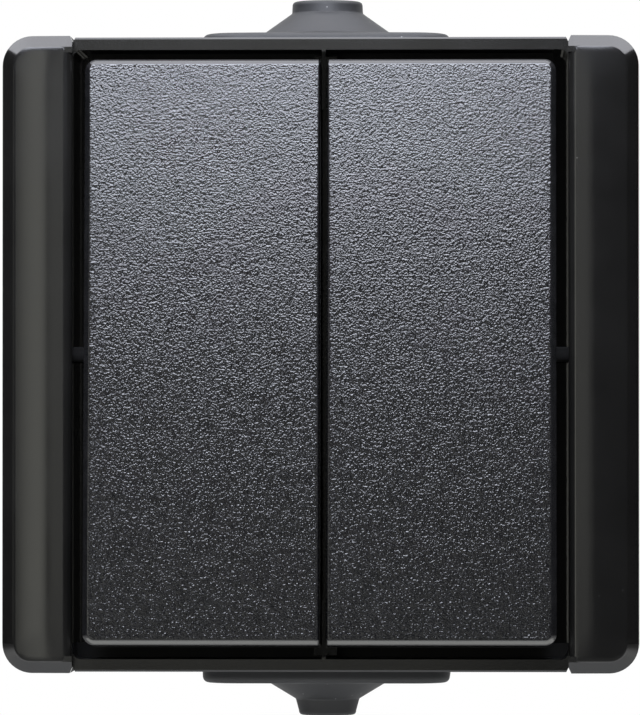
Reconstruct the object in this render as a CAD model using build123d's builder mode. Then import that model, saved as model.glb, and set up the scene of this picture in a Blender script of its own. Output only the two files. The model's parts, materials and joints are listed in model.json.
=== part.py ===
from build123d import *
import os
from math import cos, radians, sin, sqrt

# Splash-proof double rocker switch for mounting on a wall.
# Millimetres. The wall is the XZ plane, the front faces -Y, +Z is up and the origin is the middle of the back.
# A depth is a distance out from the wall.

# Cover seen from the front
cover_width = 66.0
cover_height = 66.1
bar_width = 7.3
bar_corner = 3.1
bar_edge = 1.2
bar_crown = 0.45
bar_ridge = 4.6
bar_ridge_start = 0.6
bar_inner_edge = 0.8
collar_drop = 0.12
collar_wall = 1.3
collar_edge = 0.2
notch_width = 0.56
notch_depth = 0.6

# Cover depths
cover_front = 47.0
collar_setback = 2.0
recess_depth = 8.4
recess_corner = 0.8
floor_thickness = 2.0
shell_wall = 1.8

# Rockers
rocker_side_gap = 1.3
rocker_end_gap = 1.28
slot_width = 0.78
slot_offset = 0.36
rocker_proud = 1.0
rocker_plate = 2.0
rocker_skirt = 6.5
rocker_wall = 1.2
rocker_corner = 1.2
rocker_cap = 1.2
rocker_bevel = 0.45
rocker_slot_bevel = 0.15
rocker_slot_corner = 0.6
rocker_rib = 1.0
rocker_rib_height = 1.6
rocker_rib_place = 15.0
rocker_tilt = 4.0
pivot_behind_face = 4.5
trunnion_diameter = 1.55
trunnion_seat = 1.0

# Hinge posts under the rockers and the thin rib that stands in the slot between them
post_thickness = 1.6
post_width = 5.0
post_from_slot = 4.0
post_past_pin = 0.8
lug_thickness = 1.4
lug_width = 4.0
lug_past_pin = 0.6
slot_rib = 0.4
slot_rib_rise = 3.2
slot_rib_end = 6.2
slot_rib_sink = 2.4

# Drive from rocker to contact
switch_spacing = 22.0
peg_reach = 9.0
peg_pin_diameter = 1.6
peg_web = 1.0
peg_width = 4.0
window_width = 6.4
window_height = 5.6
window_lip = 1.0
window_lip_rise = 1.2
actuator_reach = 5.5
actuator_width = 6.4
hub_diameter = 4.6
actuator_trunnion = 2.4
fork_prong = 1.3
fork_past_pin = 1.3
fork_slot_depth = 2.9
sleeve_diameter = 4.8
sleeve_length = 8.0
plunger_diameter = 2.4
bore_end = 1.8
spring_wire = 0.36
spring_side_count = 6
spring_length = 2.8
spring_turns = 4
lever_per_rocker = 1.95
fulcrum_depth = 16.6
lever_thickness = 1.0
lever_width = 5.0
lever_tail = 4.2
lever_past_contact = 1.5
lever_corner = 1.0
contact_reach = 8.5

# Current paths and terminals
strip_depth = 13.4
strip_thickness = 0.8
strip_width = 4.4
busbar_height = 4.0
fulcrum_thickness = 0.8
rivet_diameter = 2.8
rivet_shank = 1.6
rivet_height = 0.6
rivet_dome = 4.0
rivet_tail = 2.2
rivet_tail_height = 0.35
strip_past_rivet = 0.8
clamp_width = 6.4
clamp_length = 5.0
clamp_wall = 0.9
clamp_front_wall = 1.2
clamp_mouth = 5.0
strip_past_clamp = 0.6
wire_room = 2.6

# Switch insert
insert_height = 34.0
insert_back = 9.0
insert_front = 20.0
insert_corner = 2.0
insert_seat = 3.0
chamber_width = 7.0
chamber_top = 7.0
bridge_thickness = 2.4
bridge_window = 8.6
ear_thickness = 1.6
ear_width = 6.4
insert_screw_inset_x = 2.8
insert_screw_inset_z = 3.5
bridge_screw_inset = 2.1
terminal_inset = 3.5

# Base box and its gasket
base_setback = 0.7
base_depth = 30.0
base_wall = 2.2
base_corner = 3.6
base_back_edge = 0.5
rim_step = 1.0
rim_step_depth = 2.5
gasket_thickness = 1.0
wall_screw_inset = 5.1
wall_slot_length = 8.0
wall_slot_width = 4.6
wall_pad_height = 8.6
wall_pad_rise = 1.6
insert_boss = 5.6
cover_post = 7.4
cover_post_inset_x = 10.6
cover_post_inset_z = 5.5
cover_boss_drop = 3.6
gusset = 1.2
gusset_drop = 6.0

# Screws
screw_diameter = 2.9
screw_head = 5.0
screw_head_height = 2.0
cover_screw_length = 12.0
insert_screw_length = 8.0
small_screw_diameter = 1.9
small_screw_head = 3.2
small_screw_head_height = 1.4
bridge_screw_length = 8.0
terminal_screw_diameter = 3.0
terminal_screw_head = 4.4
terminal_screw_head_height = 1.8
terminal_screw_neck = 0.6
drive_slot = 0.7
drive_length = 2.6
drive_depth = 0.8
screw_point = 0.5
screw_head_edge = 0.3
pilot_room = 0.4

# Cable grommets
grommet_depth = 15.0
grommet_width = 26.6
grommet_length = 19.0
grommet_corner = 4.0
grommet_flange = 2.7
grommet_flange_edge = 0.8
grommet_neck_width = 20.8
grommet_neck_length = 13.8
grommet_neck_corner = 3.0
grommet_lip = 1.1
grommet_lip_thickness = 1.3
grommet_bore = 4.4
grommet_membrane = 0.7
upper_cone_base = 14.6
upper_cone_top = 7.7
upper_cone_height = 2.45
upper_nipple_tip = 7.6
upper_nipple_height = 1.3
lower_cone_base = 13.3
lower_cone_top = 6.85
lower_cone_height = 1.95
lower_nipple_tip = 6.2
lower_nipple_height = 1.75
nipple_edge = 0.35

# Clearances
running_clearance = 0.05
seat_clearance = 0.1
fork_clearance = 0.12
side_clearance = 0.2
contact_clearance = 0.1
tip_clearance = 0.06
screw_clearance = 0.3
bridge_clearance = 1.0

# Places that follow from the sizes above
half_width = cover_width / 2
half_height = cover_height / 2
bar_inner = half_width - bar_width
recess_width = 2 * bar_inner
collar_height = cover_height - 2 * collar_drop
recess_height = collar_height - 2 * collar_wall
bar_shoulder = cover_front - bar_crown
crown_fall = bar_crown / bar_ridge
collar_front = cover_front - collar_setback
floor_front = cover_front - recess_depth
floor_back = floor_front - floor_thickness
cover_seat = floor_back - cover_boss_drop

base_width = cover_width - 2 * base_setback
base_height = collar_height - 2 * base_setback
inner_width = base_width - 2 * base_wall
inner_height = base_height - 2 * base_wall
inner_corner = base_corner - base_wall
rim_width = base_width - 2 * rim_step
rim_height = base_height - 2 * rim_step
rim_corner = base_corner - rim_step
wall_screw_x = inner_width / 2 - wall_screw_inset
cover_post_x = inner_width / 2 - cover_post_inset_x
cover_post_z = inner_height / 2 - cover_post_inset_z
cover_back = base_depth - rim_step_depth + seat_clearance
gasket_front = base_depth + gasket_thickness

pivot_depth = cover_front + rocker_proud - pivot_behind_face
rocker_height = recess_height - 2 * rocker_end_gap
plate_back = pivot_behind_face - rocker_plate
skirt_back = pivot_behind_face - rocker_skirt
trunnion_length = rocker_side_gap + trunnion_seat
trunnion_hole = trunnion_diameter + 2 * running_clearance

switch_x = switch_spacing / 2
actuator_pivot = pivot_depth - peg_reach - actuator_reach
actuator_tilt = rocker_tilt * peg_reach / actuator_reach
actuator_room = actuator_width + 2 * side_clearance
fork_slot = peg_pin_diameter + 2 * fork_clearance
plunger_back = bore_end + spring_length
plunger_bore = plunger_diameter + 2 * side_clearance
lever_tilt = rocker_tilt * lever_per_rocker
plunger_tip = actuator_pivot - fulcrum_depth - lever_thickness - plunger_diameter / 2 - tip_clearance

terminal_reach = insert_height / 2 - terminal_inset
strip_front = strip_depth + strip_thickness
clamp_back = strip_depth - clamp_wall
clamp_front = strip_depth + clamp_mouth + clamp_front_wall
strip_end = terminal_reach + clamp_length / 2 + strip_past_clamp
contact_z = contact_reach * cos(radians(lever_tilt))
dome_centre = (rivet_dome - rivet_height) * cos(radians(lever_tilt)) - contact_reach * sin(radians(lever_tilt))
contact_front = fulcrum_depth + dome_centre - rivet_dome - contact_clearance
dome_sag = rivet_dome - sqrt(rivet_dome**2 - (rivet_diameter / 2) ** 2)

bridge_front = insert_front + bridge_thickness
bridge_height = 2 * (terminal_reach - terminal_screw_head / 2 - bridge_clearance)
ear_outside = switch_x + actuator_room / 2 + ear_thickness
bridge_screw_x = ear_outside + screw_clearance + small_screw_head / 2
insert_width = 2 * (bridge_screw_x + bridge_screw_inset)
insert_screw_x = insert_width / 2 - insert_screw_inset_x
insert_screw_z = insert_height / 2 - insert_screw_inset_z
insert_screw_seat = insert_back + insert_seat
cover_screw_seat = floor_front - screw_head_height
terminal_screw_seat = clamp_front + terminal_screw_neck

sides = [("left", -1), ("right", 1)]
switch_points = [(-switch_x, 0), (switch_x, 0)]
cover_screw_points = [(-cover_post_x, cover_post_z), (cover_post_x, -cover_post_z)]
insert_screw_points = [(-insert_screw_x, insert_screw_z), (insert_screw_x, -insert_screw_z)]
insert_rest_points = [(insert_screw_x, insert_screw_z), (-insert_screw_x, -insert_screw_z)]
bridge_screw_points = [(-bridge_screw_x, 0), (bridge_screw_x, 0)]
wall_screw_points = [(-wall_screw_x, 0), (wall_screw_x, 0)]
terminals = [
    ("line_clamp", (0, terminal_reach)),
    ("left_load_clamp", (-switch_x, -terminal_reach)),
    ("right_load_clamp", (switch_x, -terminal_reach)),
]
terminal_points = [point for name, point in terminals]


def level(depth):
    """Plane parallel to the wall at this depth: local x is right, local y is up, positive is outward."""
    return Plane.XZ.offset(depth)


def tilted(depth, angle):
    """Plane through a pivot axis at this depth, leaning in at its top by this angle."""
    lean = radians(angle)
    return Plane(origin=(0, -depth, 0), x_dir=(1, 0, 0), z_dir=(0, -cos(lean), sin(lean)))


def across(x, depth, sign=1):
    """Plane square to the pivot axes, facing right or left: local y is outward, its origin is at this depth."""
    return Plane(origin=(x, -depth, 0), x_dir=(0, 0, sign), z_dir=(sign, 0, 0))


def save(piece, name):
    """Names a finished piece and writes it out."""
    piece.part.label = name
    export_step(piece.part, f"parts/{name}.step")


def screw_group(points, seat, length, diameter, head, head_height):
    """Equal screws with cross-slotted heads that bear on a seat at this depth."""
    with BuildPart() as screws:
        with BuildSketch(level(seat - length)):
            with Locations(*points):
                Circle(diameter / 2)
        extrude(amount=length)
        chamfer(screws.faces().group_by(Axis.Y)[-1].edges(), length=screw_point)
        with BuildSketch(level(seat)):
            with Locations(*points):
                Circle(head / 2)
        extrude(amount=head_height)
        chamfer(screws.faces().group_by(Axis.Y)[0].edges(), length=screw_head_edge)
        with BuildSketch(level(seat + head_height)):
            with Locations(*points):
                Rectangle(drive_length, drive_slot)
                Rectangle(drive_slot, drive_length)
        extrude(amount=-drive_depth, mode=Mode.SUBTRACT)
    return screws


def grommet(sign, cone_base, cone_top, cone_height, nipple_tip, nipple_height):
    """Soft cable seal that grips the box wall between a flange and a lip, with a stepped closed nipple."""
    wall_outside = base_height / 2
    wall_inside = inner_height / 2
    nipple_start = wall_outside + grommet_flange
    nipple_end = nipple_start + cone_height + nipple_height

    def seal_level(z):
        return Plane(origin=(0, -grommet_depth, sign * z), x_dir=(1, 0, 0), z_dir=(0, 0, sign))

    with BuildPart() as seal:
        with BuildSketch(seal_level(wall_outside)):
            RectangleRounded(grommet_width, grommet_length, grommet_corner)
        extrude(amount=grommet_flange)
        fillet(seal.faces().sort_by(Axis((0, 0, 0), (0, 0, sign)))[-1].edges(), grommet_flange_edge)
        with BuildSketch(seal_level(wall_inside)):
            RectangleRounded(grommet_neck_width, grommet_neck_length, grommet_neck_corner)
        extrude(amount=base_wall)
        with BuildSketch(seal_level(wall_inside)):
            lip_corner = grommet_neck_corner + grommet_lip
            RectangleRounded(
                grommet_neck_width + 2 * grommet_lip, grommet_neck_length + 2 * grommet_lip, lip_corner
            )
        extrude(amount=-grommet_lip_thickness)
        with BuildSketch(Plane(origin=(0, -grommet_depth, 0), x_dir=(1, 0, 0), z_dir=(0, -sign, 0))) as nipple:
            with BuildLine():
                Polyline(
                    (0, nipple_start),
                    (cone_base / 2, nipple_start),
                    (cone_top / 2, nipple_start + cone_height),
                    (nipple_tip / 2, nipple_end),
                    (0, nipple_end),
                    close=True,
                )
            make_face()
            fillet(nipple.vertices().sort_by_distance((nipple_tip / 2, nipple_end))[0], nipple_edge)
        revolve(axis=Axis((0, -grommet_depth, 0), (0, 0, 1)))
        with BuildSketch(seal_level(wall_inside - grommet_lip_thickness)):
            Circle(grommet_bore / 2)
        bore_depth = nipple_end - grommet_membrane - wall_inside + grommet_lip_thickness
        extrude(amount=bore_depth, mode=Mode.SUBTRACT)
    return seal


os.makedirs("parts", exist_ok=True)
rocker_plane = tilted(pivot_depth, rocker_tilt)
actuator_plane = tilted(actuator_pivot, -actuator_tilt)
lever_plane = tilted(fulcrum_depth, lever_tilt)

# Base box: an open tray with a stepped rim, cable openings above and below, screw posts and slotted wall holes
with BuildPart() as base_box:
    with BuildSketch(level(0)):
        RectangleRounded(base_width, base_height, base_corner)
    extrude(amount=base_depth)
    chamfer(base_box.faces().sort_by(Axis.Y)[-1].edges(), length=base_back_edge)
    with BuildSketch(level(base_wall)):
        RectangleRounded(inner_width, inner_height, inner_corner)
    extrude(amount=base_depth - base_wall, mode=Mode.SUBTRACT)
    with BuildSketch(level(base_depth)):
        RectangleRounded(base_width, base_height, base_corner)
        RectangleRounded(rim_width, rim_height, rim_corner, mode=Mode.SUBTRACT)
    extrude(amount=-rim_step_depth, mode=Mode.SUBTRACT)
    with BuildSketch(Plane.XY):
        with Locations((0, -grommet_depth)):
            RectangleRounded(
                grommet_neck_width + 2 * seat_clearance,
                grommet_neck_length + 2 * seat_clearance,
                grommet_neck_corner + seat_clearance,
            )
    extrude(amount=base_height, both=True, mode=Mode.SUBTRACT)
    with BuildSketch(level(base_wall)):
        with Locations(*wall_screw_points):
            Rectangle(2 * wall_screw_inset, wall_pad_height)
    extrude(amount=wall_pad_rise)
    with BuildSketch(level(0)):
        with Locations(*wall_screw_points):
            SlotOverall(wall_slot_length, wall_slot_width)
    extrude(amount=base_wall + wall_pad_rise, mode=Mode.SUBTRACT)
    with BuildSketch(level(base_wall)):
        with Locations(*insert_screw_points, *insert_rest_points):
            Circle(insert_boss / 2)
    extrude(amount=insert_back - base_wall)
    with BuildSketch(level(base_wall)):
        for x, z in cover_screw_points:
            wall_x = inner_width / 2 if x > 0 else -inner_width / 2
            with Locations(((x + wall_x) / 2, z)):
                Rectangle(abs(wall_x - x), gusset)
    extrude(amount=base_depth - gusset_drop - base_wall)
    with BuildSketch(level(base_wall)):
        with Locations(*cover_screw_points):
            Circle(cover_post / 2)
    extrude(amount=cover_seat - base_wall)
    with Locations(level(insert_back)):
        with Locations(*insert_screw_points):
            Hole(screw_diameter / 2 + running_clearance, insert_screw_length - insert_seat + pilot_room)
    with Locations(level(cover_seat)):
        with Locations(*cover_screw_points):
            cover_pilot = cover_screw_length - (cover_screw_seat - cover_seat) + pilot_room
            Hole(screw_diameter / 2 + running_clearance, cover_pilot)
save(base_box, "base_box")

# Gasket ring between the rim of the box and the cover
with BuildPart() as cover_gasket:
    with BuildSketch(level(base_depth)):
        RectangleRounded(rim_width, rim_height, rim_corner)
        RectangleRounded(inner_width, inner_height, inner_corner, mode=Mode.SUBTRACT)
    extrude(amount=gasket_thickness)
save(cover_gasket, "cover_gasket")

# Side bar of the cover: rounded corners, a bevelled rim and a low crown falling away from a ridge
ridge_x = half_width - bar_ridge
ridge_z = half_height - bar_ridge
bend_x = ridge_x - bar_inner - bar_ridge_start
bend_z = bar_ridge - bar_edge
bend_length = sqrt(bend_x**2 + bend_z**2)
fall_x = crown_fall * bend_z / bend_length
fall_z = crown_fall * bend_x / bend_length
with BuildPart() as side_bar:
    with BuildSketch(level(cover_back)) as bar_outline:
        with Locations((bar_inner + bar_width / 2, 0)):
            Rectangle(bar_width, cover_height)
        fillet(bar_outline.vertices().group_by(Axis.X)[-1], bar_corner)
    extrude(amount=cover_front - cover_back)
    for z, fall in ((0, (crown_fall, 0)), (ridge_z, (fall_x, fall_z)), (-ridge_z, (fall_x, -fall_z))):
        slope = Plane(origin=(ridge_x, -cover_front, z), z_dir=(fall[0], -1, fall[1]))
        split(bisect_by=slope, keep=Keep.BOTTOM)
    walls = side_bar.faces().filter_by(lambda face: abs(face.normal_at().Y) < crown_fall)
    outer_edges = walls.sort_by(Axis.X)[1:].edges().filter_by(Axis.Y, reverse=True)
    chamfer(outer_edges.filter_by_position(Axis.Y, -cover_front, -collar_front), length=bar_edge)
    inside_x = bar_inner + bar_inner_edge
    inside_y = bar_inner_edge - cover_front
    outside_x = bar_inner - bar_inner_edge
    outside_y = -cover_front - bar_inner_edge
    with BuildSketch(Plane.XY):
        with BuildLine():
            RadiusArc((bar_inner, inside_y), (inside_x, -cover_front), -bar_inner_edge)
            Polyline(
                (inside_x, -cover_front),
                (inside_x, outside_y),
                (outside_x, outside_y),
                (outside_x, inside_y),
                (bar_inner, inside_y),
            )
        make_face()
    extrude(amount=half_height - bar_edge - notch_depth, both=True, mode=Mode.SUBTRACT)

# Cover frame: the two side bars, the collar between them, the recess and everything that stands on its floor
with BuildPart() as cover_frame:
    with BuildSketch(level(cover_back)):
        Rectangle(recess_width + 2 * shell_wall, collar_height)
    extrude(amount=collar_front - cover_back)
    chamfer(cover_frame.faces().sort_by(Axis.Y)[0].edges().filter_by(Axis.X), length=collar_edge)
    add(side_bar.part)
    mirror(side_bar.part, about=Plane.YZ)
    with BuildSketch(level(cover_back)):
        for x in (-bar_inner, bar_inner):
            for z in (-half_height, half_height):
                with Locations((x, z)):
                    Polygon((notch_width / 2, 0), (0, notch_depth), (-notch_width / 2, 0), (0, -notch_depth))
    extrude(amount=cover_front - cover_back, mode=Mode.SUBTRACT)
    with BuildSketch(level(floor_front)):
        RectangleRounded(recess_width, recess_height, recess_corner)
    extrude(amount=recess_depth, mode=Mode.SUBTRACT)
    with BuildSketch(level(cover_back)):
        RectangleRounded(
            rim_width + 2 * seat_clearance, rim_height + 2 * seat_clearance, rim_corner + seat_clearance
        )
    extrude(amount=gasket_front - cover_back, mode=Mode.SUBTRACT)
    with BuildSketch(level(gasket_front)):
        RectangleRounded(inner_width, inner_height, inner_corner)
    extrude(amount=floor_back - gasket_front, mode=Mode.SUBTRACT)
    pocket_start = bar_inner + shell_wall
    pocket_width = inner_width / 2 - pocket_start
    with BuildSketch(level(floor_back)):
        for sign in (-1, 1):
            with Locations((sign * (pocket_start + pocket_width / 2), 0)):
                Rectangle(pocket_width, inner_height - 2 * inner_corner)
    extrude(amount=bar_shoulder - shell_wall - floor_back, mode=Mode.SUBTRACT)
    with BuildSketch(level(floor_front)):
        with Locations((slot_offset, 0)):
            Rectangle(slot_rib, recess_height)
    extrude(amount=slot_rib_rise)
    with BuildSketch(level(floor_front)):
        for sign in (-1, 1):
            with Locations((slot_offset, sign * (recess_height - slot_rib_end) / 2)):
                Rectangle(slot_rib, slot_rib_end)
    extrude(amount=cover_front + rocker_proud - slot_rib_sink - floor_front)
    with BuildSketch(level(floor_front)):
        with Locations(*switch_points):
            Rectangle(window_width + 2 * window_lip, window_height + 2 * window_lip)
    extrude(amount=window_lip_rise)
    with BuildSketch(level(floor_back)):
        with Locations(*switch_points):
            Rectangle(window_width, window_height)
    extrude(amount=floor_thickness + window_lip_rise, mode=Mode.SUBTRACT)
    with BuildSketch(level(cover_seat)):
        with Locations(*cover_screw_points):
            Circle(cover_post / 2)
    extrude(amount=cover_boss_drop)
    with Locations(level(floor_front)):
        with Locations(*cover_screw_points):
            CounterBoreHole(
                screw_diameter / 2 + side_clearance,
                screw_head / 2 + side_clearance,
                screw_head_height,
                floor_front - cover_seat,
            )
    for side, sign in sides:
        with BuildSketch(across(slot_offset + sign * post_from_slot, pivot_depth, sign)):
            post_foot = floor_front - pivot_depth
            post_top = trunnion_hole / 2 + post_past_pin
            with Locations((0, (post_foot + post_top) / 2)):
                Rectangle(post_width, post_top - post_foot)
            Circle(trunnion_hole / 2, mode=Mode.SUBTRACT)
        extrude(amount=post_thickness)
        with BuildSketch(across(sign * bar_inner, pivot_depth, sign)):
            Circle(trunnion_hole / 2)
        extrude(amount=shell_wall, mode=Mode.SUBTRACT)
save(cover_frame, "cover_frame")

# Cable grommets in the upper and lower walls of the box
upper_cable_grommet = grommet(
    1, upper_cone_base, upper_cone_top, upper_cone_height, upper_nipple_tip, upper_nipple_height
)
save(upper_cable_grommet, "upper_cable_grommet")
lower_cable_grommet = grommet(
    -1, lower_cone_base, lower_cone_top, lower_cone_height, lower_nipple_tip, lower_nipple_height
)
save(lower_cable_grommet, "lower_cable_grommet")

# Rockers: hollow caps with a bevelled face, hinge pins at mid height and a drive peg, top pressed in
for side, sign in sides:
    outer_edge = sign * (bar_inner - rocker_side_gap)
    slot_edge = slot_offset + sign * slot_width / 2
    middle = (outer_edge + slot_edge) / 2
    width = abs(outer_edge - slot_edge)
    face_shift = sign * (rocker_slot_bevel - rocker_bevel) / 2
    face_width = width - rocker_bevel - rocker_slot_bevel
    face_height = rocker_height - 2 * rocker_bevel
    outer_end = -1 if sign > 0 else 0
    slot_end = 0 if sign > 0 else -1
    with BuildPart() as rocker:
        with BuildSketch(rocker_plane.offset(skirt_back)) as skirt:
            with Locations((middle, 0)):
                Rectangle(width, rocker_height)
            fillet(skirt.vertices().group_by(Axis.X)[outer_end], rocker_corner)
        extrude(amount=rocker_skirt - rocker_cap)
        with BuildSketch(rocker_plane.offset(pivot_behind_face - rocker_cap)) as cap:
            with Locations((middle, 0)):
                Rectangle(width, rocker_height)
            fillet(cap.vertices().group_by(Axis.X)[outer_end], rocker_corner)
            fillet(cap.vertices().group_by(Axis.X)[slot_end], rocker_slot_corner)
        extrude(amount=rocker_cap - rocker_bevel)
        with BuildSketch(rocker_plane.offset(pivot_behind_face - rocker_bevel)):
            add(cap.sketch_local)
        with BuildSketch(rocker_plane.offset(pivot_behind_face)) as face:
            with Locations((middle + face_shift, 0)):
                Rectangle(face_width, face_height)
            fillet(face.vertices().group_by(Axis.X)[outer_end], rocker_corner - rocker_bevel)
            fillet(face.vertices().group_by(Axis.X)[slot_end], rocker_slot_corner)
        loft(ruled=True)
        with BuildSketch(rocker_plane.offset(skirt_back)):
            with Locations((middle, 0)):
                Rectangle(width - 2 * rocker_wall, rocker_height - 2 * rocker_wall)
        extrude(amount=plate_back - skirt_back, mode=Mode.SUBTRACT)
        with BuildSketch(rocker_plane.offset(plate_back)):
            with Locations((middle, -rocker_rib_place), (middle, rocker_rib_place)):
                Rectangle(width - rocker_wall, rocker_rib)
        extrude(amount=-rocker_rib_height)
        with BuildSketch(across(outer_edge - sign * rocker_wall, pivot_depth, sign)):
            Circle(trunnion_diameter / 2)
        extrude(amount=rocker_wall + trunnion_length)
        lug_face = slot_offset + sign * (post_from_slot - side_clearance)
        lug_depth = trunnion_diameter / 2 + lug_past_pin
        with BuildSketch(rocker_plane.offset(-lug_depth)):
            with Locations((lug_face - sign * lug_thickness / 2, 0)):
                Rectangle(lug_thickness, lug_width)
        extrude(amount=lug_depth + plate_back)
        with BuildSketch(across(lug_face - sign * lug_thickness, pivot_depth, sign)):
            Circle(trunnion_diameter / 2)
        extrude(amount=lug_thickness + post_thickness + 2 * side_clearance)
        with BuildSketch(rocker_plane.offset(-peg_reach)):
            with Locations((sign * switch_x, 0)):
                Rectangle(peg_width, peg_web)
        extrude(amount=peg_reach + plate_back)
        pin_centre = rocker_plane.from_local_coords((sign * switch_x - peg_width / 2, 0, -peg_reach))
        with BuildSketch(Plane(origin=pin_centre, x_dir=(0, 0, 1), z_dir=(1, 0, 0))):
            Circle(peg_pin_diameter / 2)
        extrude(amount=peg_width)
    save(rocker, f"{side}_rocker")

# Insert base: a block with a contact chamber for each switch, a busbar channel and three terminal pockets
with BuildPart() as insert_base:
    with BuildSketch(level(insert_back)):
        RectangleRounded(insert_width, insert_height, insert_corner)
    extrude(amount=insert_front - insert_back)
    chamber_height = chamber_top + insert_height / 2
    with BuildSketch(level(strip_depth)):
        for x, z in switch_points:
            with Locations((x, chamber_top - chamber_height / 2)):
                Rectangle(chamber_width, chamber_height)
        Rectangle(switch_spacing, busbar_height + 2 * seat_clearance)
        with Locations((0, insert_height / 4)):
            Rectangle(chamber_width, insert_height / 2)
    extrude(amount=insert_front - strip_depth, mode=Mode.SUBTRACT)
    with BuildSketch(level(clamp_back)):
        with Locations(*terminal_points):
            Rectangle(clamp_width + 2 * seat_clearance, clamp_length + 2 * seat_clearance)
    extrude(amount=clamp_wall, mode=Mode.SUBTRACT)
    with Locations(level(insert_front)):
        with Locations(*insert_screw_points):
            CounterBoreHole(
                screw_diameter / 2 + side_clearance,
                screw_head / 2 + side_clearance,
                insert_front - insert_screw_seat,
                insert_front - insert_back,
            )
        with Locations(*bridge_screw_points):
            bridge_pilot = bridge_screw_length - bridge_thickness + pilot_room
            Hole(small_screw_diameter / 2 + running_clearance, bridge_pilot)
save(insert_base, "insert_base")

# Insert bridge: the plate that closes the chambers and carries the actuators between pairs of ears
with BuildPart() as insert_bridge:
    with BuildSketch(level(insert_front)):
        RectangleRounded(insert_width, bridge_height, insert_corner)
        with Locations(*switch_points):
            Rectangle(actuator_room, bridge_window, mode=Mode.SUBTRACT)
    extrude(amount=bridge_thickness)
    for x, z in switch_points:
        for sign in (-1, 1):
            with BuildSketch(across(x + sign * actuator_room / 2, actuator_pivot, sign)):
                ear_foot = actuator_pivot - bridge_front
                with Locations((0, -ear_foot / 2)):
                    Rectangle(ear_width, ear_foot)
                Circle(ear_width / 2)
                Circle(actuator_trunnion / 2 + running_clearance, mode=Mode.SUBTRACT)
            extrude(amount=ear_thickness)
    with Locations(level(bridge_front)):
        with Locations(*bridge_screw_points):
            Hole(small_screw_diameter / 2 + seat_clearance, bridge_thickness)
save(insert_bridge, "insert_bridge")

# Actuator, plunger and spring of each switch, turned the other way from the rocker
for side, sign in sides:
    x = sign * switch_x
    with BuildPart() as actuator:
        with BuildSketch(across(x - actuator_width / 2, actuator_pivot)):
            Circle(hub_diameter / 2)
        extrude(amount=actuator_width)
        trunnion_span = actuator_room + 2 * ear_thickness
        with BuildSketch(across(x - trunnion_span / 2, actuator_pivot)):
            Circle(actuator_trunnion / 2)
        extrude(amount=trunnion_span)
        with BuildSketch(actuator_plane):
            with Locations((x, 0)):
                Circle(sleeve_diameter / 2)
        extrude(amount=-sleeve_length)
        with BuildSketch(actuator_plane):
            with Locations((x, 0)):
                Rectangle(peg_width, fork_slot + 2 * fork_prong)
        extrude(amount=actuator_reach + fork_past_pin)
        with BuildSketch(actuator_plane.offset(actuator_reach + fork_past_pin)):
            with Locations((x, 0)):
                Rectangle(peg_width, fork_slot)
        extrude(amount=-fork_slot_depth, mode=Mode.SUBTRACT)
        with BuildSketch(actuator_plane.offset(-sleeve_length)):
            with Locations((x, 0)):
                Circle(plunger_bore / 2)
        extrude(amount=sleeve_length - bore_end, mode=Mode.SUBTRACT)
    save(actuator, f"{side}_actuator")

    with BuildPart() as plunger:
        with BuildSketch(actuator_plane.offset(-plunger_tip)):
            with Locations((x, 0)):
                Circle(plunger_diameter / 2)
        extrude(amount=plunger_tip - plunger_back)
        with Locations(actuator_plane.offset(-plunger_tip)):
            with Locations((x, 0)):
                Sphere(plunger_diameter / 2)
    save(plunger, f"{side}_plunger")

    spring_radius = (plunger_diameter - spring_wire) / 2
    spring_rise = spring_length - spring_wire
    spring_start = actuator_plane.from_local_coords((x, 0, -plunger_back + spring_wire / 2))
    with BuildPart() as spring:
        with BuildLine() as coil:
            Helix(spring_rise / spring_turns, spring_rise, spring_radius, spring_start, actuator_plane.z_dir)
        with BuildSketch(Plane(origin=coil.line @ 0, z_dir=coil.line % 0)):
            RegularPolygon(spring_wire / 2, spring_side_count)
        sweep()
    save(spring, f"{side}_plunger_spring")

    # Contact lever: a see-saw on its fulcrum with a domed rivet at the end of its long arm
    lever_length = lever_tail + contact_reach + lever_past_contact
    with BuildPart() as lever:
        with BuildSketch(lever_plane) as lever_outline:
            with Locations((x, lever_tail - lever_length / 2)):
                RectangleRounded(lever_width, lever_length, lever_corner)
            with Locations((x, -contact_reach)):
                Circle(rivet_shank / 2 + running_clearance, mode=Mode.SUBTRACT)
        extrude(amount=lever_thickness)
        with BuildSketch(across(x - lever_width / 2, fulcrum_depth)):
            Circle(fulcrum_thickness / 2 + running_clearance)
        extrude(amount=lever_width, mode=Mode.SUBTRACT)
    save(lever, f"{side}_contact_lever")

    rivet_seat = lever_plane.from_local_coords((x, -contact_reach, 0))
    with BuildPart() as moving_contact:
        with BuildSketch(Plane(origin=rivet_seat, x_dir=(1, 0, 0), z_dir=lever_plane.y_dir)):
            with BuildLine():
                Polyline(
                    (0, rivet_height),
                    (0, -lever_thickness - rivet_tail_height),
                    (rivet_tail / 2, -lever_thickness - rivet_tail_height),
                    (rivet_tail / 2, -lever_thickness),
                    (rivet_shank / 2, -lever_thickness),
                    (rivet_shank / 2, 0),
                    (rivet_diameter / 2, 0),
                    (rivet_diameter / 2, rivet_height - dome_sag),
                )
                RadiusArc((rivet_diameter / 2, rivet_height - dome_sag), (0, rivet_height), -rivet_dome)
            make_face()
        revolve(axis=Axis(rivet_seat, lever_plane.z_dir))
    save(moving_contact, f"{side}_moving_contact")

    # Load strip under the lever's rivet, running out through its terminal clamp
    strip_start = contact_z - rivet_diameter / 2 - strip_past_rivet
    with BuildPart() as load_strip:
        with BuildSketch(level(strip_depth)):
            with Locations((x, -(strip_start + strip_end) / 2)):
                Rectangle(strip_width, strip_end - strip_start)
            with Locations((x, -contact_z)):
                Circle(rivet_shank / 2 + running_clearance, mode=Mode.SUBTRACT)
        extrude(amount=strip_thickness)
    save(load_strip, f"{side}_load_strip")

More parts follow.
